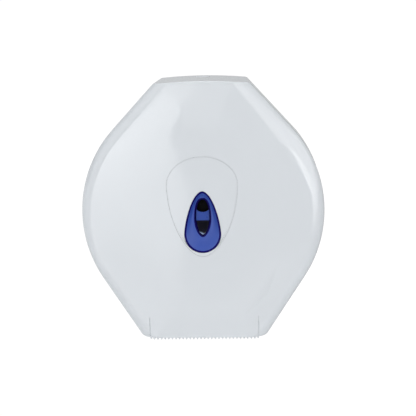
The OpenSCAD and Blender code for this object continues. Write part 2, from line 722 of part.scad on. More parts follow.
// At rest the cam is unlocked: its arm points to -X and its foot to the wall.
module lock_cam() color([0.72, 0.73, 0.75]) at_lock(cam_low_h) difference() {
    union() {
        cylinder(r = cam_r, h = cam_t);
        translate([-cam_reach, -cam_arm_w/2, 0]) cube([cam_reach, cam_arm_w, cam_t]);
        translate([-cam_reach, -cam_arm_w/2, 0]) cube([cam_foot_t, cam_arm_w/2 + cam_foot, cam_t]);
    }
    translate([-spigot_w/2 - shank_fit, -spigot_w/2 - shank_fit, -over])
        cube([spigot_w + 2*shank_fit, spigot_w + 2*shank_fit, cam_t + 2*over]);
}

module lock_cam_washer() color("silver") at_lock(cam_low_h - seat - washer_t) difference() {
    cylinder(r = cam_r - over, h = washer_t);
    translate([0, 0, -over]) cylinder(r = end_shank_r + through_fit, h = washer_t + 2*over);
}

module lock_cam_screw() color("silver") at_lock(cam_low_h - seat - washer_t)
    screw(end_shank_r, end_head_r, big_head_t, end_grip);

// ---- Back plate ----

// Outline of the back plate, `grow` beyond its rim's outer face
function plate_line(grow) = outline(wall + plate_gap - grow, wall + plate_gap - grow, -over, bottom_corner_r,
    top_corner_r);

module plate_shape(grow) intersection() {
    polygon(plate_line(grow));
    translate([-far, hinge_h + plate_lift - grow]) square([2*far, 2*far]);
}

module back_plate() color([0.86, 0.87, 0.88]) upright() {
    rib_half = wall_screw_x/2;
    difference() {
        union() {
            plate(0, plate_t) {
                plate_shape(0);
                translate([-tongue_half_w, hinge_h - hinge_r])
                    square([2*tongue_half_w, plate_lift + 2*hinge_r]);
            }
            plate(0, plate_rim_d) difference() {
                plate_shape(0);
                plate_shape(-rib_t);
            }
            plate(0, rib_d) difference() {
                intersection() {
                    plate_shape(-rib_t/2);
                    union() {
                        for (x = [-rib_half, 0, rib_half])
                            translate([x - rib_t/2, -far]) square([rib_t, 2*far]);
                        for (s = [-1, 1])
                            translate([-far, s*wall_screw_h/2 - rib_t/2]) square([2*far, rib_t]);
                    }
                }
                circle(r = spindle_flange_r + rib_t);
                translate([-cam_swing_r, cam_low_h - cam_clear]) square([2*cam_swing_r, 2*cam_clear]);
            }
            cylinder(r = spindle_flange_r + 2*rib_t, h = boss_d);
            for (sx = [-1, 1], sh = [-1, 1]) translate([sx*wall_screw_x/2, sh*wall_screw_h/2, 0])
                cylinder(r = wall_pad_r + rib_t, h = rib_d);
            translate([keeper_seat_x, keeper_mid_h - keeper_w/2, 0])
                cube([keeper_seat, keeper_w, keeper_d - seat]);
            for (s = [-1, 1]) translate([s*(tongue_half_w - arm_t/2), hinge_h, 0]) {
                translate([-arm_t/2, -hinge_r, 0]) cube([arm_t, 2*hinge_r, hinge_d]);
                translate([-arm_t/2, 0, hinge_d]) rotate([0, 90, 0]) cylinder(r = hinge_r, h = arm_t);
            }
        }
        for (sx = [-1, 1], sh = [-1, 1]) translate([sx*wall_screw_x/2, sh*wall_screw_h/2, 0]) {
            translate([0, 0, wall_pad_d]) cylinder(r = wall_pad_r, h = far);
            translate([0, 0, -over]) cylinder(r = wall_hole_r, h = far);
        }
        for (a = [45:90:315]) rotate([0, 0, a]) translate([spindle_screw_pcr, 0, boss_d - big_grip])
            cylinder(r = big_shank_r + shank_fit, h = far);
        for (p = keeper_screw_places) translate([p.x, p.y, keeper_d - seat - big_grip])
            cylinder(r = big_shank_r + shank_fit, h = far);
        translate([-far, hinge_h, hinge_d]) rotate([0, 90, 0]) cylinder(r = pin_r + pin_hold, h = 2*far);
    }
}

module hinge_pins() color("silver") upright() {
    pin_len = arm_t + arm_gap + pin_in_ear;
    for (s = [-1, 1]) translate([s*(tongue_half_w - arm_t), hinge_h, hinge_d]) rotate([0, 90*s, 0]) {
        cylinder(r = pin_r, h = pin_len);
        translate([0, 0, -pin_head_t - seat]) cylinder(r = pin_head_r, h = pin_head_t);
        translate([0, 0, -seat - over/2]) cylinder(r = pin_r, h = over);
    }
}

module keeper() color([0.72, 0.73, 0.75]) upright() difference() {
    translate([keeper_start, keeper_mid_h - keeper_w/2, keeper_d]) cube([keeper_len, keeper_w, keeper_t]);
    for (p = keeper_screw_places) translate([p.x, p.y, keeper_d - over])
        cylinder(r = big_shank_r + through_fit, h = keeper_t + 2*over);
}

module keeper_screws() color("silver") upright()
    for (p = keeper_screw_places) translate([p.x, p.y, keeper_d + keeper_t]) rotate([180, 0, 0])
        screw(big_shank_r, big_head_r, big_head_t, keeper_t + big_grip - over);

// ---- Spindle and hub ----

sleeve_front_d = hub_front_d - sleeve_set_back;
axle_end_d = sleeve_front_d + end_play;

module spindle() color([0.2, 0.2, 0.22]) upright() difference() {
    union() {
        translate([0, 0, boss_d + seat]) cylinder(r = spindle_flange_r, h = spindle_flange_t);
        translate([0, 0, boss_d + seat]) cylinder(r = axle_r, h = axle_end_d - boss_d - seat);
    }
    translate([0, 0, axle_end_d - end_grip - over]) cylinder(r = end_shank_r + shank_fit, h = far);
    for (a = [45:90:315]) rotate([0, 0, a]) translate([spindle_screw_pcr, 0, boss_d - over])
        cylinder(r = big_shank_r + through_fit, h = spindle_flange_t + 3*over);
}

module spindle_screws() color("silver") upright() for (a = [45:90:315])
    rotate([0, 0, a]) translate([spindle_screw_pcr, 0, spindle_front_d]) rotate([180, 0, 0])
        screw(big_shank_r, big_head_r, big_head_t, spindle_flange_t + big_grip - over);

module hub_washer() color("silver") upright() translate([0, 0, axle_end_d + seat]) difference() {
    cylinder(r = axle_r + washer_lip, h = washer_t);
    translate([0, 0, -over]) cylinder(r = end_shank_r + through_fit, h = washer_t + 2*over);
}

module hub_screw() color("silver") upright() translate([0, 0, axle_end_d + seat + washer_t])
    rotate([180, 0, 0]) screw(end_shank_r, end_head_r, big_head_t, end_grip);

module hub() color([0.09, 0.09, 0.1]) upright() {
    sleeve_r = axle_r + axle_fit + sleeve_wall;
    inner_r = hub_r - hub_wall;
    difference() {
        union() {
            translate([0, 0, hub_rear_d]) cylinder(r = guide_r, h = guide_t);
            translate([0, 0, hub_rear_d]) cylinder(r = hub_r, h = hub_front_d - hub_rear_d);
        }
        translate([0, 0, hub_rear_d + guide_t]) difference() {
            cylinder(r = inner_r, h = far);
            cylinder(r = sleeve_r, h = sleeve_front_d - hub_rear_d - guide_t);
            for (i = [0:hub_ribs - 1]) rotate([0, 0, 360*i/hub_ribs])
                translate([0, -hub_rib_t/2, 0]) cube([far, hub_rib_t, sleeve_front_d - hub_rear_d - guide_t]);
        }
        translate([0, 0, hub_rear_d - over]) cylinder(r = axle_r + axle_fit, h = far);
    }
}

module hub_cap() color([0.05, 0.05, 0.05]) upright() translate([0, 0, hub_front_d + seat]) {
    spigot_r = hub_r - hub_wall - seat;
    nose_r = (hub_r*hub_r + cap_rise*cap_rise)/(2*cap_rise);     // radius of the rounded nose
    cylinder(r = hub_r, h = cap_t);
    translate([0, 0, cap_t]) intersection() {
        translate([0, 0, cap_rise - nose_r]) sphere(r = nose_r, $fn = 128);
        cylinder(r = hub_r, h = cap_rise + over);
    }
    difference() {
        translate([0, 0, -cap_spigot]) cylinder(r = spigot_r, h = cap_spigot + cap_t/2);
        translate([0, 0, -cap_spigot - over]) cylinder(r = spigot_r - hub_wall, h = cap_spigot + over);
    }
}

back_plate();
spindle();
spindle_screws();
hub_washer();
hub_screw();
keeper();
keeper_screws();
hinge_pins();
hub();
hub_cap();
cover();
window_panel();
panel_screws();
window_lens();
lens_retainer();
lens_screws();
tear_strip();
tear_strip_screws();
lock_body();
lock_nut();
lock_plug();
lock_cam();
lock_cam_washer();
lock_cam_screw();
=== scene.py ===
import math

import bmesh
import bpy
import numpy as np
from mathutils import Matrix, Vector
from mathutils.bvhtree import BVHTree
from mathutils.geometry import barycentric_transform


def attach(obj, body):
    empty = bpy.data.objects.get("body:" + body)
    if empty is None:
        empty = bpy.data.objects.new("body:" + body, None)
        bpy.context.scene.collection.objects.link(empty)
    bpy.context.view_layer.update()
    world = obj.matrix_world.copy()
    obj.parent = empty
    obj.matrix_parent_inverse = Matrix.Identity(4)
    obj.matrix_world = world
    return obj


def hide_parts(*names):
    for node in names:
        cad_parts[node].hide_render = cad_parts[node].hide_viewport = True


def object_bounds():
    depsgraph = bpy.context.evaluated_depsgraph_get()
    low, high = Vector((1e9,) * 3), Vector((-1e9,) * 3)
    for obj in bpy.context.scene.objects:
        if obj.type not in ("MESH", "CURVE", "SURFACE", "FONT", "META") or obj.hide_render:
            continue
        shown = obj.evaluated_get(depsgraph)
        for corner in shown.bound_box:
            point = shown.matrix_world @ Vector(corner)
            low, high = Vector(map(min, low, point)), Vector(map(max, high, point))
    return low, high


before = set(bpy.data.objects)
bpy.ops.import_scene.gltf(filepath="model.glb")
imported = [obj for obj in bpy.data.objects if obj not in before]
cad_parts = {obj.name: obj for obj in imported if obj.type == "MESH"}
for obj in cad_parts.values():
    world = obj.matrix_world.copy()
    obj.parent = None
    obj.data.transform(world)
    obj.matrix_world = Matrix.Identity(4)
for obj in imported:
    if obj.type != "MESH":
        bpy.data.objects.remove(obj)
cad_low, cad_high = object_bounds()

# The looks of a wall dispenser for a jumbo toilet roll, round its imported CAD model.
# Shapes are worked out in the CAD source's millimetres as (across, height) in the front view and a depth
# from the wall; place() turns them into the frame's metres.

MM = 0.001


def place(across, height, depth):
    return Vector((across * MM, -depth * MM, height * MM))


# ---- Sizes of the cover, as in the CAD source ----

COVER_R = 170.5
CENTRE_H = -12.5
UPPER_SLANT = math.radians(42.5)
LOWER_SLANT = math.radians(33.6)
TOP_RISE = 187.5
TOP_CROWN_R = 650
BOTTOM_DROP = 175.5
TOP_CORNER_R = 6
BOTTOM_CORNER_R = 9
COVER_DEPTH = 132
WALL = 3
RIM_ROUND = 20
TOP_ROUND = 2
SIDE_DRAFT = 2
TOP_DRAFT = 8.5
DOME_RISE = 6
REAR_GAP = 0.5
FLAT_MARGINS = (28, 22, 51)     # beside, above and below the window panel
FLAT_CORNER_R = 12
CUT_PAST = 1                    # how far the inner skin runs past the openings that it makes
GROOVE_X = 75.2                 # middle of the two grooves beside the tear strip
GROOVE_RUN = 31                 # the grooves end this far above the cover's lowest line

BOTTOM_H = CENTRE_H - BOTTOM_DROP
TOP_H = CENTRE_H + TOP_RISE
RIM_DEPTH = COVER_DEPTH - DOME_RISE

# Drop outlines: half width, height above and below the widest line, that line's height, and the powers of
# the cosine and sine above and below it
PANEL = dict(half_w=49.1, up=39.6, down=98.3, mid=23.8, up_curve=(1, 1), down_curve=(1.1, 1.143))
LENS = dict(half_w=25.5, up=59, down=26.3, mid=-43.1, up_curve=(1.08, 1.4), down_curve=(1, 1))
VIEW = dict(half_w=10.4, up=27.7, down=23.7, mid=-22.9, up_curve=(0.8, 0.85), down_curve=(1.12, 1.1))

# Panel and its flange behind the cover's front, with four ears for the screws
FINE_SEAM = 0.28                # the seam's width as it looks
SEAM_ROUND = 0.12
SEAT = 0.1                      # gap between a flange and what it sits behind
PANEL_FLANGE_W = 6
PANEL_FLANGE_T = 2.5
FLANGE_FRONT = COVER_DEPTH - WALL - SEAT
FLANGE_REAR = FLANGE_FRONT - PANEL_FLANGE_T
PANEL_EDGE = 0.25               # rounding of the edge round the lens
EAR_R = 6.5
EAR_OUT = 5
EAR_ANGLES = (25, 155, 222, 318)
EAR_INSET = 0.02                # keeps the ears' faces from coinciding with the flange's

# Lens: a narrow rim, a dished face and the wall of the view slot in its middle
LENS_FIT = 0.25
LENS_WALL = 2
LENS_FLANGE_W = 2
LENS_RIM = COVER_DEPTH - LENS_FIT
RIM_W = 2.6
RIM_ROUNDING = 0.3
RIM_SLOPE = 0.15                # the rim is this much lower on its inner side
DISH_DEPTH = 7
DISH_POWER = 1.15               # how much slower than a sine the dish sinks at its rim
BACK_RISE = DISH_DEPTH / 5      # how much further forward the lens's back is half-way to its edge
EDGE_W = 1.5                    # edge round the view slot, dark with painted shade
SLOT_EDGE_W = 0.3
SLOT_EDGE_DROP = 0.4
VIEW_WALL = 7.5
SLOT_FRONT = LENS_RIM - DISH_DEPTH
SLOT_REAR = SLOT_FRONT - VIEW_WALL

# Crossbar, floor rim and a pale ledge of painted light, at the slot's rear
INTO_WALL = 0.3                 # how far they reach into the slot's wall or the floor's rim
FLOOR_T = 2
FLOOR_RIM = 1.4
FLOOR_ROUND = 0.2
BAR_BOTTOM_H = -25.3
BAR_HEIGHT = 11.5
BAR_HOLLOW_R = 12.6
BAR_ROUND = 0.35
PAINTED_LIGHT_LEFT_H = -38
PAINTED_LIGHT_RIGHT_H = -47.4
PAINTED_LIGHT_REAR = SLOT_REAR + 0.2
PAINTED_LIGHT_FRONT = SLOT_REAR + FLOOR_T - 0.3

# Steps of the fine surfaces
FLANK_STEPS = 96
CORNER_STEPS = 16
CROWN_STEPS = 32
ROUND_STEPS = 20
DOME_STEPS = 20
DROP_STEPS = 240
EAR_STEPS = 48
DISH_STEPS = 12
BAR_SIDE_STEPS = 400
HOLLOW_STEPS = 40
LEDGE_STEPS = 300
BEVEL_STEPS = 2

# How the cover's CAD faces are laid on the smooth skin
CAD_DROP_STEPS = 48             # straight steps of the CAD's egg-shaped hole
EGG_CUTS = 4                    # cuts in each of them
FINEST_EDGE = 4.5               # longer edges of the curved faces are split, in up to SPLIT_ROUNDS rounds
SPLIT_ROUNDS = 3
NEAR = 0.02                     # what is nearer than this to an outline or a depth lies on it
SAME_PLACE = 1e-6               # the same in metres, for points of the CAD that coincide
FACING = 0.85                   # least cosine between a face and the skin that gives its normals
INTO_FACE = 0.02                # a corner's normal is asked for this share of the way to its face's middle
ON_SKIN = 0.7 * MM
ON_FLAT = 0.05 * MM
IN_GROOVE = 0.3 * MM            # what lies deeper than this under the skin is a groove's floor
GROOVE_ZONE = 0.8               # half width of the strip in which that counts

# Angles between faces, in degrees, from which an edge looks sharp
SKIN_SHARP = 30
PIECE_SHARP = 32
LENS_SHARP = 40
BEVEL_SHARP = 30


# ---- Outlines ----

def arc(centre, r, start, end, steps):
    a = np.linspace(start, end, steps + 1)
    return np.array(centre) + r * np.stack([np.cos(a), np.sin(a)], 1)


def half_outline(side, top, bottom, low_r, high_r):
    """Right half of the cover's outline from the bottom up, inset by side, top and bottom."""
    r = COVER_R - side
    low_h = BOTTOM_H + bottom + low_r
    low_x = (r - low_r + math.sin(LOWER_SLANT) * (low_h - CENTRE_H)) / math.cos(LOWER_SLANT)
    normal = np.array([math.cos(UPPER_SLANT), math.sin(UPPER_SLANT)])
    along = np.array([-normal[1], normal[0]])
    crown = np.array([0, TOP_H - TOP_CROWN_R])
    crown_r = TOP_CROWN_R - top
    foot = np.array([0, CENTRE_H]) + normal * (r - high_r)
    b = (foot - crown) @ along
    c = (foot - crown) @ (foot - crown) - (crown_r - high_r) ** 2
    high = foot + along * (math.sqrt(b * b - c) - b)
    crown_angle = math.atan2(high[1] - crown[1], high[0] - crown[0])
    return np.concatenate([
        arc((low_x, low_h), low_r, -math.pi / 2, -LOWER_SLANT, CORNER_STEPS),
        arc((0, CENTRE_H), r, -LOWER_SLANT, UPPER_SLANT, FLANK_STEPS),
        arc(high, high_r, UPPER_SLANT, crown_angle, CORNER_STEPS),
        arc(crown, crown_r, crown_angle, math.pi / 2, CROWN_STEPS)[1:]])


def outline(side, top, bottom, low_r, high_r):
    half = half_outline(side, top, bottom, low_r, high_r)
    return np.concatenate([half, half[-2::-1] * (-1, 1)])


ROUND_END = math.radians(80.5)  # where the rim's round runs smoothly into the bulging front

# Insets of the flat middle of the front from the cover's outline, and its lower and upper line
FLAT_SIDE = COVER_R - PANEL["half_w"] - FLAT_MARGINS[0]
FLAT_TOP = TOP_H - PANEL["mid"] - PANEL["up"] - FLAT_MARGINS[1]
FLAT_BOTTOM = PANEL["mid"] - PANEL["down"] - FLAT_MARGINS[2] - BOTTOM_H
FLAT_LOW = BOTTOM_H + FLAT_BOTTOM
FLAT_HIGH = TOP_H - FLAT_TOP
FLAT_Y = -(COVER_DEPTH - NEAR / 2) * MM     # what lies in front of this is the flat middle


def skin_rings(skin):
    """Rings of the cover's outer surface (skin 0) or its inner one (skin WALL), as (outline, depth)."""
    low = -skin - CUT_PAST if skin else 0
    r, t = RIM_ROUND - skin, max(TOP_ROUND - skin, CUT_PAST)
    rings = [(outline(skin, skin, low, BOTTOM_CORNER_R, TOP_CORNER_R),
              REAR_GAP - CUT_PAST if skin else REAR_GAP)]
    for f in np.linspace(0, ROUND_END, ROUND_STEPS + 1):
        depth = RIM_DEPTH - skin - r + r * math.sin(f)
        into_top = max(0, (depth - (RIM_DEPTH - skin - t)) / t)
        lean_top = TOP_DRAFT * depth / (RIM_DEPTH - skin) + t * (1 - math.sqrt(1 - into_top ** 2))
        rings.append((outline(skin + SIDE_DRAFT + r * (1 - math.cos(f)), skin + lean_top, low,
                              BOTTOM_CORNER_R, TOP_CORNER_R), depth))
    # from the last of these rings the front bulges on to its flat middle
    rim_side, rim_depth = SIDE_DRAFT + r * (1 - math.cos(ROUND_END)), depth
    for f in np.linspace(0, 1, DOME_STEPS + 1)[1:]:
        rings.append((outline(skin * (1 - f) + rim_side + f * (FLAT_SIDE - rim_side),
                              skin * (1 - f) + lean_top + f * (FLAT_TOP - lean_top),
                              low + f * (FLAT_BOTTOM - low),
                              BOTTOM_CORNER_R + f * (FLAT_CORNER_R - BOTTOM_CORNER_R),
                              TOP_CORNER_R + f * (FLAT_CORNER_R - TOP_CORNER_R)),
                      rim_depth + (COVER_DEPTH - skin - rim_depth) * (1 - (1 - f) ** 2)))
    return rings


def drop(shape, grow=0, angles=None):
    """Points of a drop outline, grown outwards: all round it, or at the given angles."""
    a = np.linspace(0, 2 * math.pi, DROP_STEPS, endpoint=False) if angles is None else np.asarray(angles)
    up = np.sin(a) >= 0
    curve = np.where(up[:, None], shape["up_curve"], shape["down_curve"])
    rise = grow + np.where(up, shape["up"], shape["down"])
    across = (shape["half_w"] + grow) * np.sign(np.cos(a)) * np.abs(np.cos(a)) ** curve[:, 0]
    height = shape["mid"] + np.sign(np.sin(a)) * rise * np.abs(np.sin(a)) ** curve[:, 1]
    return np.stack([across, height], 1)


# ---- Mesh helpers ----

def mesh_object(name, verts, faces, body):
    mesh = bpy.data.meshes.new(name)
    mesh.from_pydata(verts, [], faces)
    mesh.validate()
    piece = bpy.data.objects.new(name, mesh)
    bpy.context.scene.collection.objects.link(piece)
    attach(piece, body)
    return piece


def smooth(mesh, degrees=PIECE_SHARP):
    mesh.shade_smooth()
    mesh.set_sharp_from_angle(angle=math.radians(degrees))


def bevel(piece, width):
    m = piece.modifiers.new("bevel", "BEVEL")
    m.width = width * MM
    m.segments = BEVEL_STEPS
    m.limit_method = "ANGLE"
    m.angle_limit = math.radians(BEVEL_SHARP)
    m.harden_normals = False
    smooth(piece.data)


def loft(rings, closed=False, caps=False):
    """Verts and quads through (points, depth) rings; closed joins the last ring to the first."""
    n = len(rings[0][0])
    verts = [place(x, h, d) for points, d in rings for x, h in points]
    faces = []
    for i in range(len(rings) - (0 if closed else 1)):
        a, b = i * n, (i + 1) % len(rings) * n
        faces += [(a + j, b + j, b + (j + 1) % n, a + (j + 1) % n) for j in range(n)]
    if caps:
        faces.append(tuple(range(n)))
        faces.append(tuple(range(len(rings) * n - 1, (len(rings) - 1) * n - 1, -1)))
    return verts, faces


def fix_normals(piece):
    bm = bmesh.new()
    bm.from_mesh(piece.data)
    bmesh.ops.recalc_face_normals(bm, faces=bm.faces)
    bm.to_mesh(piece.data)
    bm.free()


class Skin:
    """A fine skin, open at the rear, that gives the nearest point on it and its smooth normal there."""

    def __init__(self, skin):
        verts, faces = loft(skin_rings(skin), caps=True)
        rear_cap = len(faces) - 2
        mesh = bpy.data.meshes.new("skin")
        mesh.from_pydata(verts, [], faces)
        bm = bmesh.new()
        bm.from_mesh(mesh)
        bmesh.ops.recalc_face_normals(bm, faces=bm.faces)
        bm.faces.ensure_lookup_table()
        bmesh.ops.delete(bm, geom=[bm.faces[rear_cap]], context="FACES_ONLY")
        bmesh.ops.triangulate(bm, faces=bm.faces)
        bm.to_mesh(mesh)
        bm.free()
        smooth(mesh, SKIN_SHARP)
        self.corners = [tuple(p.vertices) for p in mesh.polygons]
        self.verts = [v.co.copy() for v in mesh.vertices]
        loop_normals = [Vector(x.vector) for x in mesh.corner_normals]
        self.normals = [[loop_normals[i] for i in p.loop_indices] for p in mesh.polygons]
        self.tree = BVHTree.FromPolygons(self.verts, self.corners)
        bpy.data.meshes.remove(mesh)

    def nearest(self, point):
        where, _, face, distance = self.tree.find_nearest(point)
        return where, face, distance

    def normal(self, where, face):
        a, b, c = (self.verts[i] for i in self.corners[face])
        return barycentric_transform(where, a, b, c, *self.normals[face]).normalized()


# ---- Cover: the CAD node's faces, split finely and laid on the smooth skin ----

EGG_STARTS = drop(PANEL, 0, np.arange(CAD_DROP_STEPS) * 2 * math.pi / CAD_DROP_STEPS)
EGG_ENDS = np.roll(EGG_STARTS, -1, 0)


def egg_place(vert):
    """The vertex's place on the true egg outline if it lies on the CAD's outline of straight steps."""
    x, h = vert.co.x / MM, vert.co.z / MM
    d = EGG_ENDS - EGG_STARTS
    along = (x - EGG_STARTS[:, 0]) * d[:, 0] + (h - EGG_STARTS[:, 1]) * d[:, 1]
    t = np.clip(along / (d ** 2).sum(1), 0, 1)
    gap = np.hypot(EGG_STARTS[:, 0] + t * d[:, 0] - x, EGG_STARTS[:, 1] + t * d[:, 1] - h)
    i = int(gap.argmin())
    if gap[i] > NEAR:
        return None
    return drop(PANEL, 0, [2 * math.pi * (i + t[i]) / CAD_DROP_STEPS])[0]


def reach(point):
    """How far from the skin a point may lie and still belong to it."""
    height = point.z / MM
    if abs(point.x) < FLAT_SIDE * MM and FLAT_LOW < height < FLAT_HIGH:
        return ON_FLAT
    in_groove = abs(abs(point.x / MM) - GROOVE_X) < GROOVE_ZONE and height < BOTTOM_H + GROOVE_RUN
    return IN_GROOVE if in_groove else ON_SKIN


def triangulate_rest(bm):
    bmesh.ops.triangulate(bm, faces=[f for f in bm.faces if len(f.verts) > 3])


def round_egg_hole(bm):
    """Gives the egg-shaped hole in the front a fine, truly curved edge."""
    front = -(COVER_DEPTH - WALL - NEAR) * MM
    on_egg = {v: egg_place(v) for v in bm.verts if v.co.y < front}
    edges = [e for e in bm.edges
             if all(on_egg.get(v) is not None for v in e.verts)
             and abs(e.verts[0].co.y - e.verts[1].co.y) < SAME_PLACE]
    bmesh.ops.subdivide_edges(bm, edges=edges, cuts=EGG_CUTS)
    for v in bm.verts:
        if v.co.y < front:
            spot = egg_place(v)
            if spot is not None:
                v.co.x, v.co.z = spot[0] * MM, spot[1] * MM
    triangulate_rest(bm)


def lay_on_skin(bm, outer):
    """Splits the long edges of the outer faces and moves their vertices onto the smooth outer skin."""
    known = {}

    def on_outer(v):
        if v not in known:
            where, _, distance = outer.nearest(v.co)
            known[v] = distance < reach(v.co)
            if known[v] and v.co.y > FLAT_Y:
                v.co = where
        return known[v]

    for _ in range(SPLIT_ROUNDS):
        edges = [e for e in bm.edges
                 if e.calc_length() > FINEST_EDGE * MM
                 and any(v.co.y > FLAT_Y for v in e.verts)
                 and all(on_outer(v) for v in e.verts)
                 and all(outer.nearest(f.calc_center_median())[2] < reach(f.calc_center_median())
                         for f in e.link_faces)]
        bmesh.ops.subdivide_edges(bm, edges=edges, cuts=1)
        triangulate_rest(bm)
    for v in bm.verts:
        on_outer(v)
        v.co.x = min(max(v.co.x, cad_low.x), cad_high.x)
        v.co.z = min(max(v.co.z, cad_low.z), cad_high.z)


def take_skin_normals(mesh, outer, inner):
    """Gives the faces that follow a skin that skin's smooth normals."""
    smooth(mesh, SKIN_SHARP)
    normals = [Vector(x.vector) for x in mesh.corner_normals]
    for p in mesh.polygons:
        for skin, turn in ((outer, 1), (inner, -1)):
            where, face, distance = skin.nearest(p.center)
            if distance < reach(p.center) and turn * skin.normal(where, face).dot(p.normal) > FACING:
                for i in p.loop_indices:
                    corner = mesh.vertices[mesh.loops[i].vertex_index].co
                    where, face, _ = skin.nearest(corner.lerp(p.center, INTO_FACE))
                    normals[i] = turn * skin.normal(where, face)
                break
    mesh.normals_split_custom_set(normals)


def make_cover():
    outer, inner = Skin(0), Skin(WALL)
    bm = bmesh.new()
    bm.from_mesh(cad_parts["cover"].data)
    bmesh.ops.remove_doubles(bm, verts=bm.verts, dist=SAME_PLACE)
    round_egg_hole(bm)
    lay_on_skin(bm, outer)
    mesh = bpy.data.meshes.new("cover_shell")
    bm.to_mesh(mesh)
    bm.free()
    take_skin_normals(mesh, outer, inner)
    piece = bpy.data.objects.new("cover_shell", mesh)
    bpy.context.scene.collection.objects.link(piece)
    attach(piece, "cover")
    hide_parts("cover")
    piece.data.materials.append(WHITE)


# ---- Window: panel, lens and what shows through it ----

def make_panel():
    rings = [
        (drop(PANEL, -FINE_SEAM - SEAM_ROUND), COVER_DEPTH),
        (drop(PANEL, -FINE_SEAM), COVER_DEPTH - SEAM_ROUND),
        (drop(PANEL, -FINE_SEAM), FLANGE_FRONT),
        (drop(PANEL, PANEL_FLANGE_W), FLANGE_FRONT),
        (drop(PANEL, PANEL_FLANGE_W), FLANGE_REAR),
        (drop(LENS, LENS_FLANGE_W + LENS_FIT), FLANGE_REAR),
        (drop(LENS, LENS_FLANGE_W + LENS_FIT), COVER_DEPTH - WALL),
        (drop(LENS), COVER_DEPTH - WALL),
        (drop(LENS), COVER_DEPTH - PANEL_EDGE),
        (drop(LENS, PANEL_EDGE), COVER_DEPTH)]
    verts, faces = loft(rings, closed=True)
    for a in EAR_ANGLES:
        spot = drop(PANEL, EAR_OUT, [math.radians(a)])[0]
        ring = arc(spot, EAR_R, 0, 2 * math.pi, EAR_STEPS)[:-1]
        ear = [(ring, FLANGE_FRONT - EAR_INSET), (ring, FLANGE_REAR + EAR_INSET)]
        ear_verts, ear_faces = loft(ear, caps=True)
        faces += [tuple(i + len(verts) for i in f) for f in ear_faces]
        verts += ear_verts
    piece = mesh_object("window_panel_face", verts, faces, "cover")
    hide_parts("window_panel")
    fix_normals(piece)
    smooth(piece.data)
    piece.data.materials.append(WHITE)


def blend_rings(outer, inner, f):
    return outer * (1 - f) + inner * f


def make_lens():
    """The lens from the slot's rear edge, round its back and flange, over its rim and down the dish."""
    rim_in = drop(LENS, -LENS_FIT - RIM_W)
    dish_start = LENS_RIM - RIM_SLOPE
    slot_out = drop(VIEW, EDGE_W)
    back = SLOT_FRONT - LENS_WALL
    rings = [
        (drop(VIEW, LENS_WALL), SLOT_REAR),
        (drop(VIEW, LENS_WALL), back),
        (blend_rings(drop(LENS), drop(VIEW), 0.5), back + BACK_RISE),
        (drop(LENS, -LENS_FIT - LENS_WALL), FLANGE_REAR),
        (drop(LENS, LENS_FLANGE_W), FLANGE_REAR),
        (drop(LENS, LENS_FLANGE_W), FLANGE_FRONT)]
    rim_from = len(rings)
    rings += [
        (drop(LENS, -LENS_FIT), FLANGE_FRONT),
        (drop(LENS, -LENS_FIT), LENS_RIM - RIM_ROUNDING),
        (drop(LENS, -LENS_FIT - RIM_ROUNDING), LENS_RIM),
        (rim_in, dish_start)]
    dish_from = len(rings) - 1
    for f in np.linspace(0, 1, DISH_STEPS + 1)[1:]:
        sunk = math.sin(f * math.pi / 2) ** DISH_POWER
        rings.append((blend_rings(rim_in, slot_out, f), dish_start - (DISH_DEPTH - 2 * RIM_SLOPE) * sunk))
    dish_to = len(rings) - 1
    rings += [
        (drop(VIEW, SLOT_EDGE_W), SLOT_FRONT),
        (drop(VIEW), SLOT_FRONT - SLOT_EDGE_DROP),
        (drop(VIEW), SLOT_REAR)]
    verts, faces = loft(rings, closed=True)
    piece = mesh_object("window_lens_shell", verts, faces, "cover")
    piece.data.materials.append(LENS_BLUE)
    piece.data.materials.append(LENS_EDGE_PAINTED_SHADE)
    # the rim and the slot's edge and wall are darker than the back and the dish: painted shade for the dark
    # look that refraction and the slot's depth give them
    for i, p in enumerate(piece.data.polygons):
        ring = i // DROP_STEPS
        p.material_index = 0 if ring < rim_from or dish_from <= ring < dish_to else 1
    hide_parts("window_lens")
    fix_normals(piece)
    smooth(piece.data, LENS_SHARP)


def prism(name, points, rear, front, body):
    n = len(points)
    verts = [place(x, h, d) for d in (rear, front) for x, h in points]
    faces = [tuple(range(n)), tuple(range(2 * n - 1, n - 1, -1))]
    faces += [(j, (j + 1) % n, n + (j + 1) % n, n + j) for j in range(n)]
    piece = mesh_object(name, verts, faces, body)
    fix_normals(piece)
    return piece


def make_bar():
    """Crossbar of the window, with a round hollow in its upper edge."""
    side = drop(VIEW, INTO_WALL, np.linspace(-math.pi / 2, math.pi / 2, BAR_SIDE_STEPS))
    hollow_h = BAR_BOTTOM_H + BAR_HEIGHT + BAR_HOLLOW_R
    roof = hollow_h - np.sqrt(np.clip(BAR_HOLLOW_R ** 2 - side[:, 0] ** 2, 0, None))
    side = side[(side[:, 1] > BAR_BOTTOM_H) & (side[:, 1] < roof)]
    right = np.concatenate([[(side[0, 0], BAR_BOTTOM_H)], side])
    end = math.atan2(right[-1, 1] - hollow_h, right[-1, 0])
    hollow = arc((0, hollow_h), BAR_HOLLOW_R, end, -math.pi - end, HOLLOW_STEPS)
    points = np.concatenate([right, hollow[1:-1], right[::-1] * (-1, 1)])
    piece = prism("window_bar", points, SLOT_REAR, SLOT_REAR + FLOOR_T, "cover")
    piece.data.materials.append(BAR_BLUE)
    bevel(piece, BAR_ROUND)


def make_floor_rim():
    floor_front = SLOT_REAR + FLOOR_T
    rings = [
        (drop(VIEW, INTO_WALL), SLOT_REAR),
        (drop(VIEW, INTO_WALL), floor_front),
        (drop(VIEW, -FLOOR_RIM + FLOOR_ROUND), floor_front),
        (drop(VIEW, -FLOOR_RIM), floor_front - FLOOR_ROUND),
        (drop(VIEW, -FLOOR_RIM), SLOT_REAR)]
    verts, faces = loft(rings, closed=True)
    piece = mesh_object("window_floor_rim", verts, faces, "cover")
    # the floor rim carries the slot's painted shade
    piece.data.materials.append(LENS_EDGE_PAINTED_SHADE)
    fix_normals(piece)
    smooth(piece.data)


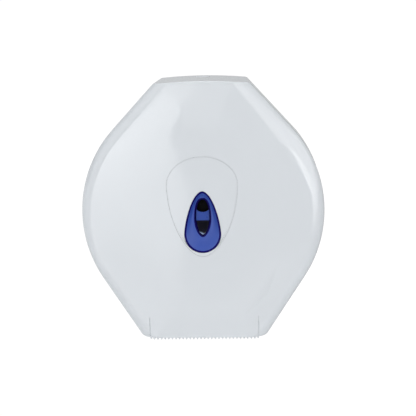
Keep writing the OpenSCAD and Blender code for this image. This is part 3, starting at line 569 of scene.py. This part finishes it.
def make_painted_light_ledge():
    """Pale ledge at the foot of the lower opening, with a slanted upper edge: painted light for the lit
    sliver seen there.
    """
    foot = drop(VIEW, -FLOOR_RIM + INTO_WALL, np.linspace(-math.pi, 0, LEDGE_STEPS))
    from_left = (foot[:, 0] + VIEW["half_w"]) / (2 * VIEW["half_w"])
    roof = PAINTED_LIGHT_LEFT_H + from_left * (PAINTED_LIGHT_RIGHT_H - PAINTED_LIGHT_LEFT_H)
    foot = foot[foot[:, 1] < roof]
    piece = prism("window_ledge_painted_light", foot, PAINTED_LIGHT_REAR, PAINTED_LIGHT_FRONT, "cover")
    piece.data.materials.append(LEDGE_PAINTED_LIGHT)


# ---- Materials ----

CLOUD_SCALE = 14                # noise scales, in cells per metre
GLOSS_SCALE = 60
WAVE_SCALE = 9
NOISE_LOW = 0.3                 # the noise mostly lies between these
NOISE_HIGH = 0.7
GRAIN_DEPTH = 0.0002            # metres
WAVE_DEPTH = 0.001


def linear(r, g, b):
    """Linear colour of an sRGB colour in 0 to 255."""
    def one(v):
        v /= 255
        return v / 12.92 if v <= 0.04045 else ((v + 0.055) / 1.055) ** 2.4
    return one(r), one(g), one(b), 1


def surface(name, colour, roughness, metallic=0.0, vary=0.03, grain=900, grain_bump=0.02, waves=0.0,
            stretch=(1, 1, 1), transmission=0.0, rough_vary=0.04, ior=1.5):
    """Moulded or metal surface: cloudy shade differences, uneven gloss, fine grain and slow waves."""
    m = bpy.data.materials.new(name)
    m.use_nodes = True
    nodes, links = m.node_tree.nodes, m.node_tree.links
    shader = nodes["Principled BSDF"]
    shader.inputs["Metallic"].default_value = metallic
    shader.inputs["IOR"].default_value = ior
    shader.inputs["Transmission Weight"].default_value = transmission
    where = nodes.new("ShaderNodeTexCoord")
    scale = nodes.new("ShaderNodeMapping")
    scale.inputs["Scale"].default_value = stretch
    links.new(where.outputs["Object"], scale.inputs["Vector"])

    def noise(size, detail):
        n = nodes.new("ShaderNodeTexNoise")
        n.inputs["Scale"].default_value = size
        n.inputs["Detail"].default_value = detail
        links.new(scale.outputs["Vector"], n.inputs["Vector"])
        return n.outputs["Fac"]

    def span(source, low, high):
        r = nodes.new("ShaderNodeMapRange")
        r.inputs["From Min"].default_value = NOISE_LOW
        r.inputs["From Max"].default_value = NOISE_HIGH
        r.inputs["To Min"].default_value = low
        r.inputs["To Max"].default_value = high
        links.new(source, r.inputs["Value"])
        return r.outputs["Result"]

    def bump(height, strength, depth):
        b = nodes.new("ShaderNodeBump")
        b.inputs["Strength"].default_value = strength
        b.inputs["Distance"].default_value = depth
        links.new(height, b.inputs["Height"])
        return b

    mix = nodes.new("ShaderNodeMix")
    mix.data_type = "RGBA"
    mix.inputs["A"].default_value = [c * (1 - vary) for c in colour[:3]] + [1]
    mix.inputs["B"].default_value = [min(1, c * (1 + vary)) for c in colour[:3]] + [1]
    links.new(span(noise(CLOUD_SCALE, 3), 0, 1), mix.inputs["Factor"])
    links.new(mix.outputs["Result"], shader.inputs["Base Color"])
    links.new(span(noise(GLOSS_SCALE, 2), max(0, roughness - rough_vary), roughness + rough_vary),
              shader.inputs["Roughness"])
    relief = bump(noise(grain, 2), grain_bump, GRAIN_DEPTH)
    if waves:
        slow = bump(noise(WAVE_SCALE, 1), waves, WAVE_DEPTH)
        links.new(relief.outputs["Normal"], slow.inputs["Normal"])
        relief = slow
    links.new(relief.outputs["Normal"], shader.inputs["Normal"])
    return m


WHITE = surface("white_shell", linear(211, 215, 219), 0.05, vary=0.005, grain_bump=0.005, waves=0.01,
                rough_vary=0.01, ior=1.6)
STRIP_WHITE = surface("strip_white", linear(212, 216, 220), 0.3, vary=0.01)
PLATE = surface("plate_plastic", linear(214, 217, 220), 0.45, vary=0.02, grain_bump=0.08)
# painted light: the spindle and hub's black is lifted to a bluish slate, making up for the dim light inside
# the dispenser where they are seen
BLACK_WITH_PAINTED_LIGHT = surface("black_plastic", linear(72, 68, 88), 0.4, vary=0.08, grain_bump=0.08)
CAP_BLACK = surface("cap_black", linear(11, 10, 12), 0.5, vary=0.1, grain_bump=0.05, ior=1.15)
LENS_BLUE = surface("window_blue", linear(52, 81, 168), 0.45, vary=0.04, grain_bump=0.01,
                    transmission=0.05, ior=1.45)
# painted shade: a dark blue on the lens's rim, the view slot's edge and wall and the floor rim, for their
# dark look from refraction and shade in the slot
LENS_EDGE_PAINTED_SHADE = surface("window_edge_painted_shade", linear(18, 8, 88), 0.3, vary=0.05, grain_bump=0.01, ior=1.15)
BAR_BLUE = surface("window_bar", linear(36, 72, 163), 0.3, vary=0.05, grain_bump=0.02, ior=1.45)
# painted light: a pale blue piece for the lit sliver at the foot of the window's lower opening
LEDGE_PAINTED_LIGHT = surface("window_ledge_painted_light", linear(150, 172, 205), 0.35, vary=0.05)
STEEL = surface("brushed_steel", linear(196, 198, 202), 0.32, metallic=1, vary=0.05, grain=300,
                grain_bump=0.1, stretch=(1, 1, 14))
CHROME = surface("lock_metal", linear(158, 160, 164), 0.2, metallic=1, vary=0.03, grain=500,
                 grain_bump=0.03)

NODE_MATERIALS = {
    WHITE: ["cover", "window_panel"],
    STRIP_WHITE: ["tear_strip"],
    PLATE: ["back_plate", "lens_retainer"],
    BLACK_WITH_PAINTED_LIGHT: ["spindle", "hub"],
    CAP_BLACK: ["hub_cap"],
    STEEL: ["spindle_screws", "hub_washer", "hub_screw", "keeper", "keeper_screws", "hinge_pins",
            "panel_screws", "lens_screws", "tear_strip_screws", "lock_cam", "lock_cam_washer",
            "lock_cam_screw"],
    CHROME: ["lock_body", "lock_nut", "lock_plug"],
    LENS_BLUE: ["window_lens"],
}
for material, names in NODE_MATERIALS.items():
    for name in names:
        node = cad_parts[name]
        node.data.materials.clear()
        node.data.materials.append(material)

make_cover()
make_panel()
make_lens()
make_bar()
make_floor_rim()
make_painted_light_ledge()

# ---- Camera, at the picture's angle ----

PICTURE = 416                   # pixels
TARGET = Vector((0, -0.066, -0.010))
TARGET_PIXEL = (204.05, 206.05)
DISTANCE = 2.094
AZIMUTH = math.radians(2.1)
ELEVATION = math.radians(4.803)
ROLL = math.radians(0.85)
VIEW_WIDTH = 0.5897             # metres across the picture at the target
SENSOR_WIDTH = 36
CLIP_END = 50


def towards(azimuth, elevation):
    """Direction from the object: azimuth from the front to the right, elevation upwards, in radians."""
    return Vector((math.sin(azimuth) * math.cos(elevation), -math.cos(azimuth) * math.cos(elevation),
                   math.sin(elevation)))


camera = bpy.data.objects.new("camera", bpy.data.cameras.new("camera"))
bpy.context.scene.collection.objects.link(camera)
bpy.context.scene.camera = camera
back = towards(AZIMUTH, ELEVATION)
level = (-back).to_track_quat("-Z", "Y").to_matrix()
camera.location = TARGET + back * DISTANCE
camera.rotation_euler = (level @ Matrix.Rotation(-ROLL, 3, "Z")).to_euler()
camera.data.sensor_width = SENSOR_WIDTH
camera.data.lens = SENSOR_WIDTH * DISTANCE / VIEW_WIDTH
camera.data.shift_x = (PICTURE / 2 - TARGET_PIXEL[0]) / PICTURE
camera.data.shift_y = (TARGET_PIXEL[1] - PICTURE / 2) / PICTURE
camera.data.clip_end = CLIP_END

# ---- Light ----

SHEET_DISTANCE = 3.2            # metres from the spindle's axis at the wall
FLOOR_H = -1.5
FLOOR_HALF = 3.1
PLAIN_WHITE = (1, 1, 1, 1)
FLOOR_COLOUR = (0.85, 0.86, 0.87, 1)
SEEN_WHITE = 1.04               # the background, as the camera sees it
LIT_COLOUR = (0.97, 0.985, 1, 1)
FRONT_WORLD = 0.36              # the room's brightness before the object and beside it
SIDE_WORLD = 0.732
REAR_WORLD = 0.8                # share of the side's brightness that is left behind the wall
LEFT_WORLD = 1.25               # shares of it on the far left and right
RIGHT_WORLD = 0.55
FLAG_WORLD = 0.4                # share of it that is left beside a dark flag, behind on the left

# Where these run into each other: (axis of the direction, start, end)
FRONT_TO_SIDE = ("Y", -0.95, -0.3)
SIDE_TO_REAR = ("Y", 0.1, 0.9)
LEFT_TO_RIGHT = ("X", -0.6, 0.6)
FLAG_RIGHT_EDGE = ("X", -0.65, -0.3)
FLAG_FRONT_EDGE = ("Y", -0.1, 0.3)
FLAG_LOWER_EDGE = ("Z", 0.02, 0.2)


def light_sheet(name, rows, steps=12):
    """A lit sheet round the object. Each row is (elevation, azimuth at its left and right, radiance at its
    left and right), with angles in degrees; brightness runs smoothly across each row and between rows."""
    verts, glows = [], []
    for elevation, left, right, glow_left, glow_right in rows:
        for i in range(steps + 1):
            f = i / steps
            azimuth = left + f * (right - left)
            verts.append(towards(math.radians(azimuth), math.radians(elevation)) * SHEET_DISTANCE)
            glows.append(glow_left + f * (glow_right - glow_left))
    n = steps + 1
    faces = [(r * n + i, r * n + i + 1, (r + 1) * n + i + 1, (r + 1) * n + i)
             for r in range(len(rows) - 1) for i in range(steps)]
    mesh = bpy.data.meshes.new(name)
    mesh.from_pydata(verts, [], faces)
    layer = mesh.attributes.new("glow", "FLOAT", "POINT")
    layer.data.foreach_set("value", glows)
    sheet = bpy.data.objects.new(name, mesh)
    bpy.context.scene.collection.objects.link(sheet)
    m = bpy.data.materials.new(name)
    m.use_nodes = True
    nodes, links = m.node_tree.nodes, m.node_tree.links
    nodes.clear()
    out = nodes.new("ShaderNodeOutputMaterial")
    glow = nodes.new("ShaderNodeEmission")
    glow.inputs["Color"].default_value = PLAIN_WHITE
    strength = nodes.new("ShaderNodeAttribute")
    strength.attribute_name = "glow"
    links.new(strength.outputs["Fac"], glow.inputs["Strength"])
    links.new(glow.outputs[0], out.inputs["Surface"])
    mesh.materials.append(m)
    sheet.visible_camera = False
    sheet.visible_transmission = False


light_sheet("left_softbox", [
    (-27, -48, -6, 1.7, 0.6),
    (-20, -50, -5, 2.0, 0.7),
    (-16, -52, -4, 2.2, 0.7),
    (-13, -52, -4, 2.3, 0.7),
    (-10, -50, -4, 2.5, 1.0),
    (-6.5, -48, -3.2, 2.3, 1.4),
    (-4, -46, -2.9, 2.4, 1.6),
    (-1, -44, -4, 2.7, 1.9),
    (2.3, -38, -6.8, 3.1, 2.1),
    (5.2, -34, -9.5, 3.4, 2.2),
    (8, -29, -7, 3.5, 2.2),
    (11.8, -25, -3, 3.3, 2.1),
    (15, -24, -2.9, 2.2, 1.7),
    (34, -24, -2.9, 1.2, 1.1)], steps=20)
light_sheet("left_fade", [
    (4, -6.5, 4, 0.8, 0.35),
    (16, -2.8, 5, 0.8, 0.35),
    (24, -2.8, 5, 0.7, 0.35)])
light_sheet("left_low_fill", [
    (-40, -90, -50, 1.2, 1.6),
    (-27, -86, -49, 1.3, 1.8),
    (-18, -80, -52, 1.0, 1.3)])
light_sheet("low_softbox", [
    (-26, -5, 30, 0.8, 0.5),
    (-15, -3.8, 22, 0.8, 0.5),
    (-12, -3.8, 20, 0.45, 0.4)])
light_sheet("right_softbox", [
    (-12, 30, 60, 0.8, 0.7),
    (-8, 27, 64, 1.6, 1.2),
    (-4, 25, 66, 2.3, 1.5),
    (-1, 24, 68, 3.1, 1.5),
    (2, 21, 70, 3.8, 1.5),
    (5, 19.5, 76, 3.7, 1.5),
    (8, 18, 84, 3.9, 1.6),
    (9.5, 15, 88, 1.9, 1.6),
    (14, 14, 94, 1.7, 1.6),
    (20, 15, 108, 1.7, 1.7),
    (30, 25, 112, 1.7, 1.5),
    (42, 40, 90, 1.2, 1.0)], steps=24)
light_sheet("top_softbox", [
    (60, -180, 180, 1.7, 1.7),
    (88, -180, 180, 1.7, 1.7)], steps=36)


def white_to_camera(nodes, links, plain, white):
    """Shader that is white for what the camera sees directly or through the window, and plain elsewhere."""
    path = nodes.new("ShaderNodeLightPath")
    either = nodes.new("ShaderNodeMath")
    either.operation = "MAXIMUM"
    links.new(path.outputs["Is Camera Ray"], either.inputs[0])
    links.new(path.outputs["Is Transmission Ray"], either.inputs[1])
    choose = nodes.new("ShaderNodeMixShader")
    links.new(either.outputs[0], choose.inputs[0])
    links.new(plain, choose.inputs[1])
    links.new(white, choose.inputs[2])
    return choose.outputs[0]


def make_floor():
    """Pale matt floor under the object, which the camera sees as white."""
    half = FLOOR_HALF
    corners = [(x, y, FLOOR_H) for x, y in ((-half, -half), (half, -half), (half, half), (-half, half))]
    floor = bpy.data.objects.new("floor", bpy.data.meshes.new("floor"))
    floor.data.from_pydata(corners, [], [(0, 1, 2, 3)])
    bpy.context.scene.collection.objects.link(floor)
    pale = bpy.data.materials.new("pale_floor")
    pale.use_nodes = True
    nodes, links = pale.node_tree.nodes, pale.node_tree.links
    nodes.clear()
    matt = nodes.new("ShaderNodeBsdfDiffuse")
    matt.inputs["Color"].default_value = FLOOR_COLOUR
    glow = nodes.new("ShaderNodeEmission")
    glow.inputs["Color"].default_value = PLAIN_WHITE
    glow.inputs["Strength"].default_value = SEEN_WHITE
    out = nodes.new("ShaderNodeOutputMaterial")
    links.new(white_to_camera(nodes, links, matt.outputs[0], glow.outputs[0]), out.inputs["Surface"])
    floor.data.materials.append(pale)


def make_world():
    """White to the camera; for light and reflections a calm room, dimmer behind the wall."""
    world = bpy.data.worlds.new("world")
    bpy.context.scene.world = world
    world.use_nodes = True
    nodes, links = world.node_tree.nodes, world.node_tree.links
    nodes.clear()
    out = nodes.new("ShaderNodeOutputWorld")
    seen = nodes.new("ShaderNodeBackground")
    seen.inputs["Color"].default_value = PLAIN_WHITE
    seen.inputs["Strength"].default_value = SEEN_WHITE
    lit = nodes.new("ShaderNodeBackground")
    lit.inputs["Color"].default_value = LIT_COLOUR
    where = nodes.new("ShaderNodeTexCoord")
    split = nodes.new("ShaderNodeSeparateXYZ")
    links.new(where.outputs["Generated"], split.inputs[0])

    def smooth_step(source, start, end, low, high):
        r = nodes.new("ShaderNodeMapRange")
        r.interpolation_type = "SMOOTHSTEP"
        r.inputs["From Min"].default_value = start
        r.inputs["From Max"].default_value = end
        r.inputs["To Min"].default_value = low
        r.inputs["To Max"].default_value = high
        links.new(source, r.inputs["Value"])
        return r.outputs["Result"]

    def ramp(span, low, high):
        axis, start, end = span
        return smooth_step(split.outputs[axis], start, end, low, high)

    def product(a, b):
        m = nodes.new("ShaderNodeMath")
        m.operation = "MULTIPLY"
        links.new(a, m.inputs[0])
        links.new(b, m.inputs[1])
        return m.outputs[0]

    before = ramp(FRONT_TO_SIDE, FRONT_WORLD, SIDE_WORLD)
    behind = ramp(SIDE_TO_REAR, 1, REAR_WORLD)
    sideways = ramp(LEFT_TO_RIGHT, LEFT_WORLD, RIGHT_WORLD)
    in_flag = product(product(ramp(FLAG_RIGHT_EDGE, 1, 0), ramp(FLAG_FRONT_EDGE, 0, 1)),
                      ramp(FLAG_LOWER_EDGE, 0, 1))
    flag = smooth_step(in_flag, 0, 1, 1, FLAG_WORLD)
    links.new(product(product(product(before, behind), sideways), flag), lit.inputs["Strength"])
    links.new(white_to_camera(nodes, links, lit.outputs[0], seen.outputs[0]), out.inputs["Surface"])


make_floor()
make_world()
bpy.context.scene.view_settings.view_transform = "Standard"
